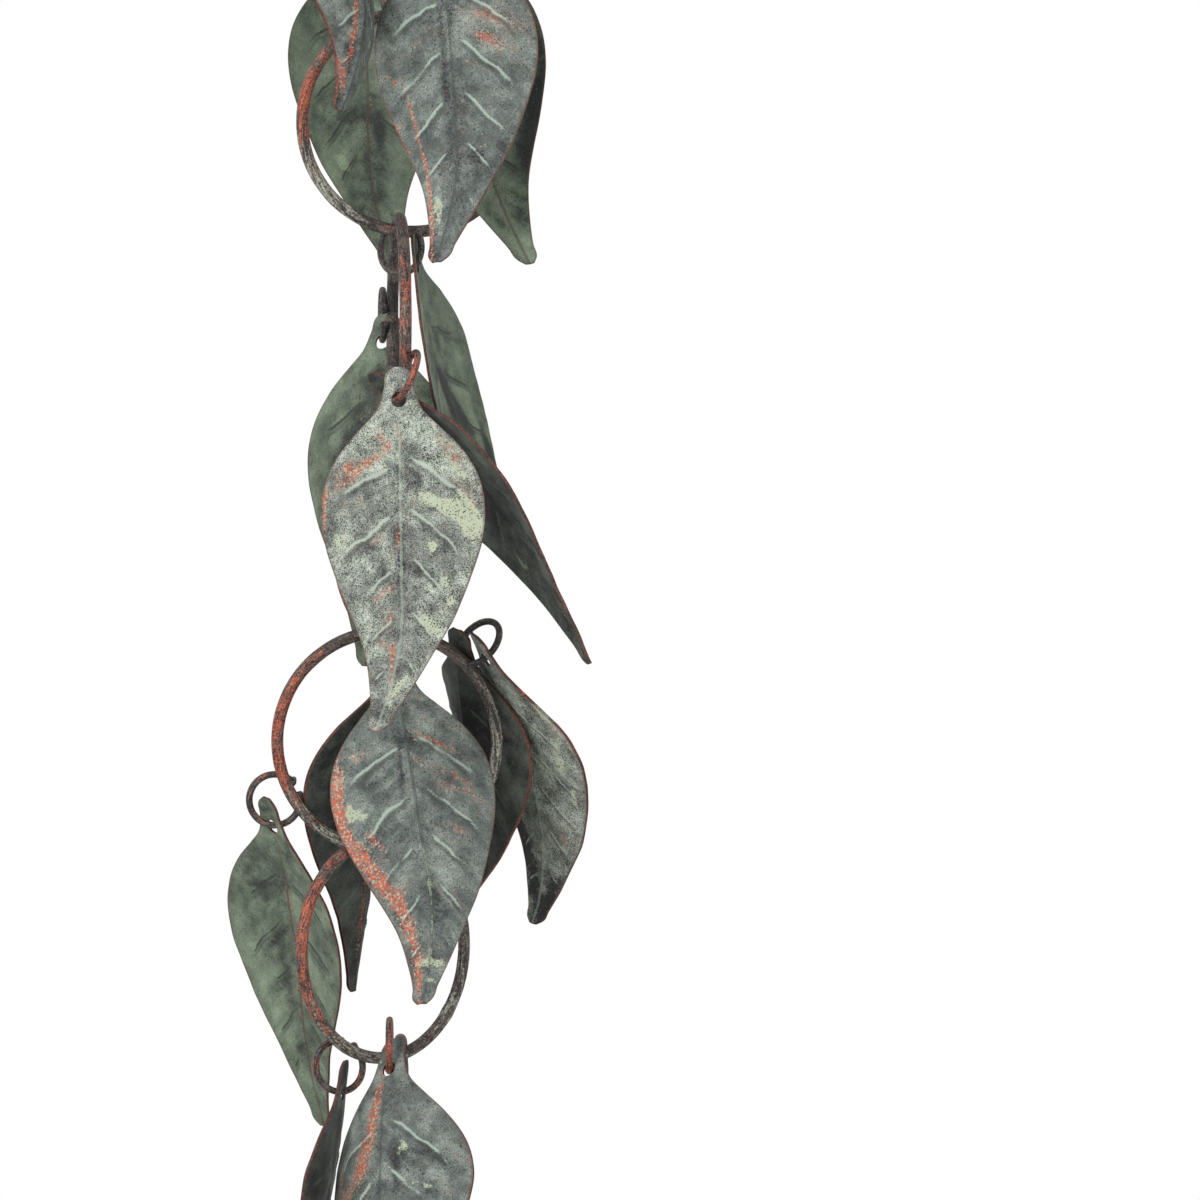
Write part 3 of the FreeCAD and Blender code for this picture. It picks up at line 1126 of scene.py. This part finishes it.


# Patches given in the leaf's own millimetres
PATCHES: dict[str, tuple[Patch, ...]] = {
    "leaf_01": (
        Patch(-3, 66, 1, 22, copper=1.2), Patch(-4, 84, 0.8, 6, 25, copper=1)),
    "leaf_06": (
        Patch(-20.8, 36, 0.7, 12, copper=0.9),),
    "leaf_09": (
        Patch(0, 62, 0.5, 26, pale=0.8), Patch(-19, 34, 1.5, 10, copper=0.9)),
    "leaf_10": (
        Patch(-3, 48, 2.2, 14, copper=0.95), Patch(-1, 72, 1.3, 14, copper=1.1),
        Patch(6, 50, 3, 6, 70, copper=0.6)),
    "leaf_13": (
        Patch(0, 40, 0.5, 40, copper=0.85),),
    "leaf_15": (
        Patch(-3.5, 22, 1.8, 11, -8, copper=1.3), Patch(-7, 33, 2.4, 8, -20, copper=1.05),
        Patch(-13, 44, 2, 5, 10, copper=0.85), Patch(-5, 50, 1.2, 7, copper=1),
        Patch(-17, 36, 1, 14, copper=0.8)),
}

# Strokes laid over the photograph, in its pixels
# Their shade amounts are painted shade, and painted light where they are below nought.
STROKES: dict[str, tuple[Stroke, ...]] = {
    "leaf_01": (
        Stroke((371, 46), (385, 36), 6, pale=0.6), Stroke((331, 108), (333, 90), 6, shade=0.5),
        Stroke((355, 30), (348, 80), 5, shade=0.35)),
    "leaf_02": (
        Stroke((388, 78), (403, 93), 1.6, copper=1.2), Stroke((403, 93), (417, 143), 1.5, copper=1.4),
        Stroke((417, 143), (428, 200), 1.5, copper=1.4), Stroke((428, 200), (430, 257), 1.6, copper=1.3),
        Stroke((380, 103), (403, 164), 1.3, copper=1), Stroke((467, 7), (520, 21), 10, copper=0.6),
        Stroke((481, 36), (510, 46), 7, copper=0.5), Stroke((463, 53), (478, 68), 4, copper=0.45),
        Stroke((435, 193), (438, 228), 5, pale=0.9), Stroke((463, 207), (466, 212), 4, pale=0.66),
        Stroke((439, 20), (446, 118), 3.5, shade=0.5), Stroke((515, 100), (490, 190), 10, shade=0.3),
        Stroke((430, 250), (440, 262), 6, shade=0.6), Stroke((420, 60), (500, 200), 20, shade=0.12)),
    "leaf_03": (
        Stroke((540, 75), (532, 180), 12, shade=1.5), Stroke((481, 221), (531, 257), 6, shade=-1.2),
        Stroke((495, 200), (530, 245), 6, shade=-0.7), Stroke((500, 190), (512, 205), 8, shade=0.2)),
    "leaf_04": (
        Stroke((296, 21), (306, 89), 9, shade=-0.5), Stroke((372, 82), (365, 171), 1, copper=1),
        Stroke((339, 157), (353, 171), 7, pale=0.7), Stroke((324, 121), (360, 118), 8, shade=0.4),
        Stroke((378, 121), (381, 150), 5, shade=0.7), Stroke((350, 190), (365, 220), 8, shade=0.3),
        Stroke((320, 60), (350, 220), 14, shade=-0.3)),
    "leaf_05": (
        Stroke((460, 360), (485, 455), 5, shade=-0.6), Stroke((440, 375), (470, 425), 8, shade=1.6),
        Stroke((482, 422), (497, 467), 5, shade=1.3), Stroke((425, 300), (440, 350), 6, shade=0.4)),
    "leaf_06": (
        Stroke((329, 489), (375, 456), 6, copper=0.9), Stroke((334, 478), (352, 460), 4, copper=0.56),
        Stroke((376, 435), (385, 447), 4, copper=0.9), Stroke((392, 425), (397, 432), 3, copper=0.67),
        Stroke((342, 505), (362, 500), 2.5, copper=0.67), Stroke((355, 555), (385, 535), 2.5, copper=0.67),
        Stroke((371, 601), (390, 582), 3.5, copper=0.9), Stroke((383, 625), (391, 607), 3, copper=0.67),
        Stroke((377, 642), (392, 645), 3.5, copper=0.78), Stroke((390, 642), (387, 690), 3.2, copper=0.84),
        Stroke((395, 530), (396, 547), 2, copper=0.67), Stroke((435, 435), (465, 470), 6, copper=0.5),
        Stroke((460, 485), (475, 520), 8, copper=0.39), Stroke((367, 730), (382, 730), 3, copper=0.78),
        Stroke((412, 492), (480, 520), 9, pale=1.4), Stroke((462, 498), (478, 540), 8, pale=1.3),
        Stroke((440, 452), (470, 480), 6, pale=0.84), Stroke((430, 543), (434, 547), 6, pale=0.96),
        Stroke((442, 580), (446, 584), 5, pale=0.96), Stroke((447, 597), (452, 600), 5, pale=0.84),
        Stroke((415, 612), (440, 632), 8, pale=0.96), Stroke((395, 695), (410, 670), 5, pale=0.72),
        Stroke((337, 540), (341, 544), 5, pale=0.72), Stroke((328, 515), (333, 518), 4, pale=0.48),
        Stroke((396, 520), (400, 600), 6, shade=0.4), Stroke((460, 622), (480, 585), 5, shade=0.55),
        Stroke((320, 522), (325, 550), 4, shade=0.5), Stroke((430, 560), (450, 572), 4, shade=0.45),
        Stroke((360, 535), (385, 572), 6, shade=0.35), Stroke((340, 500), (350, 480), 8, shade=0.25),
        Stroke((330, 530), (350, 600), 8, pale=0.25), Stroke((385, 660), (400, 720), 8, pale=0.3)),
    "leaf_07": (
        # The long pale stroke is painted light on the lit lower side of leaf_07.
        Stroke((552, 595), (570, 630), 3, copper=0.7), Stroke((485, 470), (500, 480), 5, pale=0.45),
        Stroke((500, 500), (545, 570), 6, shade=0.5), Stroke((485, 525), (570, 630), 5, pale=0.75)),
    "leaf_08": (
        Stroke((360, 410), (335, 465), 10, shade=0.5), Stroke((355, 375), (325, 410), 8, shade=-0.5),
        Stroke((312, 460), (318, 505), 1.5, copper=1.1), Stroke((350, 380), (345, 480), 14, shade=0.3)),
    "leaf_09": (
        Stroke((337, 770), (330, 810), 4, copper=0.85), Stroke((337, 830), (365, 865), 8, copper=0.98),
        Stroke((367, 835), (385, 852), 5, copper=0.78), Stroke((360, 860), (405, 915), 8, copper=1),
        Stroke((400, 910), (420, 965), 5.5, copper=1), Stroke((417, 965), (417, 1000), 3, copper=0.98),
        Stroke((410, 1010), (422, 1015), 3, copper=0.78), Stroke((412, 730), (455, 750), 4, copper=0.91),
        Stroke((425, 760), (472, 780), 4, copper=0.78), Stroke((435, 780), (475, 795), 4, copper=0.65),
        Stroke((450, 815), (475, 835), 4, copper=0.52), Stroke((350, 755), (365, 760), 5, copper=0.65),
        Stroke((350, 810), (375, 820), 6, pale=0.96), Stroke((360, 822), (365, 840), 4, pale=0.72),
        Stroke((455, 785), (470, 790), 4, pale=0.6), Stroke((422, 962), (452, 965), 4, pale=1.08),
        Stroke((427, 977), (440, 982), 4, pale=0.84), Stroke((417, 1002), (420, 1005), 4, pale=0.6),
        Stroke((462, 890), (480, 910), 6, shade=0.5), Stroke((362, 790), (375, 785), 4, shade=0.5),
        Stroke((396, 740), (402, 810), 2.5, shade=0.6), Stroke((420, 790), (470, 900), 10, shade=-0.12),
        Stroke((333, 800), (345, 840), 5, copper=0.9), Stroke((345, 800), (352, 840), 4, pale=0.5),
        Stroke((450, 700), (480, 760), 8, shade=-0.2)),
    "leaf_11": (
        Stroke((530, 750), (542, 770), 6, pale=1.08), Stroke((555, 760), (560, 775), 5, pale=1.08),
        Stroke((537, 702), (550, 722), 5, pale=0.84), Stroke((572, 790), (575, 810), 5, pale=0.72),
        Stroke((500, 677), (512, 695), 6, shade=-0.5), Stroke((492, 640), (530, 680), 1.5, copper=0.9),
        Stroke((530, 680), (565, 745), 1.5, copper=0.9), Stroke((560, 837), (565, 852), 5, copper=0.7),
        Stroke((507, 790), (532, 890), 11, shade=1.6), Stroke((545, 790), (570, 870), 6, shade=-0.1),
        Stroke((545, 705), (570, 790), 5, pale=0.42), Stroke((550, 927), (550, 895), 10, shade=1.5),
        Stroke((525, 722), (537, 715), 4, shade=0.5)),
    "leaf_12": (
        Stroke((470, 700), (485, 760), 14, shade=0.5),),
    "leaf_13": (
        Stroke((270, 923), (292, 1012), 8, shade=0.5), Stroke((248, 882), (275, 884), 3, shade=0.7),
        Stroke((262, 951), (287, 926), 3, shade=0.7), Stroke((275, 995), (289, 973), 3, shade=0.6),
        Stroke((256, 845), (275, 868), 8, shade=0.4), Stroke((314, 945), (331, 962), 2.5, shade=0.7),
        Stroke((300, 895), (317, 907), 3, shade=0.5), Stroke((243, 950), (298, 1060), 6, shade=-0.5),
        Stroke((323, 985), (337, 962), 5, shade=-0.4), Stroke((284, 873), (295, 957), 1, copper=1),
        Stroke((295, 957), (300, 1020), 1, copper=1), Stroke((334, 910), (341, 950), 1, copper=0.9)),
    "leaf_15": (
        Stroke((406, 1182), (439, 1184), 5, pale=0.9), Stroke((403, 1146), (407, 1150), 6, pale=0.5),
        Stroke((377, 1060), (379, 1062), 2.2, pale=1), Stroke((392, 1123), (395, 1190), 4, shade=0.5),
        Stroke((431, 1151), (459, 1165), 5, shade=0.6)),
}


@dataclass
class Chain:
    """The whole chain: its rings, its loops and its leaves."""

    rings: list[MainRing] = field(default_factory=list)
    loops: list[LeafLoop] = field(default_factory=list)
    leaves: list[Leaf] = field(default_factory=list)

    def plan(self) -> None:
        """Lay out every piece as the solids have it."""
        left = (Streak(275, 60, copper=0.56), Streak(200, 40, pale=0.4), Streak(100, 45, pale=0.35))
        plain = (Streak(60, 70, copper=0.2), Streak(250, 60, copper=0.35))
        self.rings = [MainRing(f"ring_{number}", turn, streaks) for number, (turn, streaks) in enumerate((
            (50, plain), (104, plain), (0, (Streak(290, 45, copper=0.48), Streak(235, 34, pale=0.6))),
            (95, (Streak(270, 60, copper=0.4),)), (60, plain), (0, left), (44, left), (90, plain)), 1)]
        loop = self.braze
        loop(0, 220, twist=70)
        loop(1, 266, side=1)
        loop(1, 90, side=-1)
        loop(2, 185, twist=-35, mouth=94)
        loop(3, 246, twist=25, copper=0.45)
        loop(3, 82, side=-1, copper=0)
        loop(4, 180, twist=38, copper=0.2)
        loop(5, 43, twist=52, side=-0.7, stand=6.4, copper=0)
        loop(5, 242.4, side=-1)
        loop(6, 204, twist=-20, side=-1, copper=0.2)
        loop(7, 328, side=-1, copper=0.7)
        loop(7, 180, side=1)
        leaf = self.hang
        leaf(0, slide=-26.5, facing=55, lean=4.5, forward=22, cup=8.5, fold=5, bow=3.5, curl=-2.5, twist=-3)
        leaf(1, slide=-31, facing=-14, lean=4, forward=8.5, cup=3.5, fold=2, bow=-3, curl=0.5, twist=-3.5)
        leaf(1, slide=12.5, facing=173, lean=12.5, forward=-9.5, cup=1.5, fold=2, curl=-12, twist=-5)
        leaf(2, slide=13, facing=187, lean=1.5, forward=6, cup=5, bow=2.5, curl=2, twist=3.5)
        leaf(3, slide=-48, facing=264, lean=16, forward=-17.5, cup=1.5, fold=2, bow=4.5, curl=-6, twist=13,
             front=Face.SAGE)
        leaf(4, slide=-19, facing=-14.5, lean=1.5, forward=-0.5, cup=1.5, fold=2, bow=1.5, curl=6,
             twist=-11.5, front=Face.SPECKLED)
        leaf(4, slide=48, facing=126, lean=37.5, forward=-9.5, cup=1.5, fold=2, bow=6, curl=-6, twist=16.5,
             back=Face.DUSK)
        leaf(5, slide=-0.5, facing=-26, lean=-3, forward=6, cup=5.5, fold=3, bow=6.5, curl=-12,
             twist=-10.5, front=Face.SAGE)
        leaf(6, slide=-37.5, facing=4, lean=9, forward=10, cup=2, fold=3.5, curl=8, twist=-5.5)
        leaf(6, slide=37, facing=55.5, lean=-8.5, forward=-21, cup=3.5, fold=5.5, bow=-2, curl=6,
             twist=-12, front=Face.DUSK)
        leaf(7, slide=-48, facing=-61, lean=14.5, forward=-31.5, cup=1.5, fold=2, bow=-4, curl=6,
             twist=-21.5, front=Face.SPECKLED)
        leaf(7, slide=48, facing=-41, lean=4, forward=-30, cup=2.5, fold=5.5, bow=0, curl=8, twist=50,
             front=Face.DUSK)
        leaf(8, slide=2.5, facing=129, lean=5, forward=-21, cup=1.5, fold=2, bow=4, curl=2, twist=-13)
        leaf(9, slide=4.5, facing=77, lean=-10, forward=-5.5, cup=1.5, fold=2, bow=1.5, twist=-14,
             front=Face.DUSK, back=Face.DUSK)
        leaf(10, slide=-32.5, facing=-36.5, lean=2, forward=17.5, cup=8.5, fold=2, bow=7.5, curl=-5,
             twist=-9.5)
        leaf(11, slide=-24, facing=10, lean=-6, forward=6, cup=6, front=Face.SPECKLED)
        leaf(11, slide=24, facing=8, lean=9, forward=-8, cup=6)

    def braze(self, ring: int, clock: float, **form: float) -> None:
        """Add one more leaf loop, brazed to a ring at its clock angle in degrees."""
        name = f"loop_{len(self.loops) + 1:02d}"
        self.loops.append(LeafLoop(name, self.rings[ring], clock, **form))

    def hang(self, loop: int, **form: object) -> None:
        """Add one more leaf on a loop, in the form given."""
        name = f"leaf_{len(self.leaves) + 1:02d}"
        self.leaves.append(Leaf(name, self.loops[loop], patches=PATCHES.get(name, ()),
                                strokes=STROKES.get(name, ()), **form))

    def build(self) -> None:
        """Build and dress every piece."""
        ring_finish = WireFinish("ring_patina", dark=(0.04, 0.034, 0.033), brown=(0.125, 0.1, 0.085),
                                 copper=(0.34, 0.085, 0.045), chalk=(0.33, 0.34, 0.28)).make()
        loop_finish = WireFinish("loop_patina", dark=(0.03, 0.027, 0.027), brown=(0.1, 0.09, 0.08),
                                 copper=(0.33, 0.08, 0.045), chalk=(0.25, 0.26, 0.22)).make()
        rim = WireFinish("leaf_edge", dark=(0.06, 0.025, 0.02), brown=(0.14, 0.05, 0.035),
                         copper=(0.4, 0.08, 0.045), chalk=(0.2, 0.2, 0.16)).make()
        faces = {face: face.value.make() for face in Face}
        for ring in self.rings:
            ring.build(ring_finish)
        for loop in self.loops:
            loop.build(loop_finish)
        blank = BLANK.build()
        for number, leaf in enumerate(self.leaves):
            leaf.build(blank, 3.7 + 11.3 * number, faces, rim)
        bpy.data.objects.remove(blank)


@dataclass
class Studio:
    """Plain pale floor, soft light and the photograph's camera."""

    floor_gap: float = 0.06
    floor_size: float = 3.0
    lit_height: float = -0.26
    air_light: float = 0.56
    air_seen: float = 1.0

    def camera(self) -> None:
        """Place the camera at the photograph's viewing angle."""
        eye = bpy.data.cameras.new("photo_eye")
        stand = bpy.data.objects.new("photo_eye", eye)
        bpy.context.collection.objects.link(stand)
        stand.location = VIEW.eye()
        stand.rotation_euler = (math.pi / 2, 0, 0)
        eye.sensor_width = VIEW.sensor
        eye.lens = VIEW.lens()
        eye.clip_start = 0.05
        eye.clip_end = 20
        bpy.context.scene.camera = stand

    def lamp(self, name: str, place: Vector, size: float, power: float) -> None:
        """Add a soft lamp that looks at the middle of the chain.

        Args:
            name: The lamp's name.
            place: Where it stands.
            size: How wide it is.
            power: Its power.
        """
        light = bpy.data.lights.new(name, "AREA")
        light.size = size
        light.energy = power
        stand = bpy.data.objects.new(name, light)
        bpy.context.collection.objects.link(stand)
        stand.location = place
        aim = Vector((0, 0, self.lit_height)) - place
        stand.rotation_euler = aim.to_track_quat("-Z", "Y").to_euler()

    def world(self) -> None:
        """Light the scene softly from all around, white where it is looked at."""
        sky = bpy.data.worlds.new("studio_air")
        sky.use_nodes = True
        tree = sky.node_tree
        air = tree.nodes["Background"]
        air.inputs["Color"].default_value = (1, 1, 1, 1)
        path = tree.nodes.new("ShaderNodeLightPath")
        seen = path.outputs["Is Camera Ray"]
        for kind in ("Is Glossy Ray", "Is Transmission Ray"):
            either = tree.nodes.new("ShaderNodeMath")
            either.operation = "MAXIMUM"
            tree.links.new(seen, either.inputs[0])
            tree.links.new(path.outputs[kind], either.inputs[1])
            seen = either.outputs[0]
        level = tree.nodes.new("ShaderNodeMapRange")
        level.inputs["To Min"].default_value = self.air_light
        level.inputs["To Max"].default_value = self.air_seen
        tree.links.new(seen, level.inputs["Value"])
        tree.links.new(level.outputs["Result"], air.inputs["Strength"])
        bpy.context.scene.world = sky

    def floor(self) -> None:
        """Lay the pale floor well below the chain."""
        bare_selection()
        low = CAD_BOX[0][2] - self.floor_gap
        bpy.ops.mesh.primitive_plane_add(size=self.floor_size, location=(0, 0, low))
        slab = take_active("studio_floor")
        settle(slab, Matrix.Translation((0, 0, low)))
        bench = Bench("floor_white")
        bench.shader.inputs["Base Color"].default_value = (0.9, 0.9, 0.9, 1)
        bench.shader.inputs["Roughness"].default_value = 0.9
        slab.data.materials.append(bench.material)

    def build(self) -> None:
        """Set up the whole studio."""
        self.floor()
        self.camera()
        self.world()
        self.lamp("key_light", Vector((-0.8, -1.2, 0.6)), size=0.7, power=16)
        self.lamp("fill_light", Vector((0.9, -1.2, -0.2)), size=1.0, power=5)
        bpy.context.scene.view_settings.view_transform = "Standard"


def main() -> None:
    """Build the chain and its studio."""
    logging.basicConfig(level=logging.INFO, format="%(name)s: %(message)s")
    chain = Chain()
    chain.plan()
    chain.build()
    Studio().build()


if __name__ == "__main__":
    main()
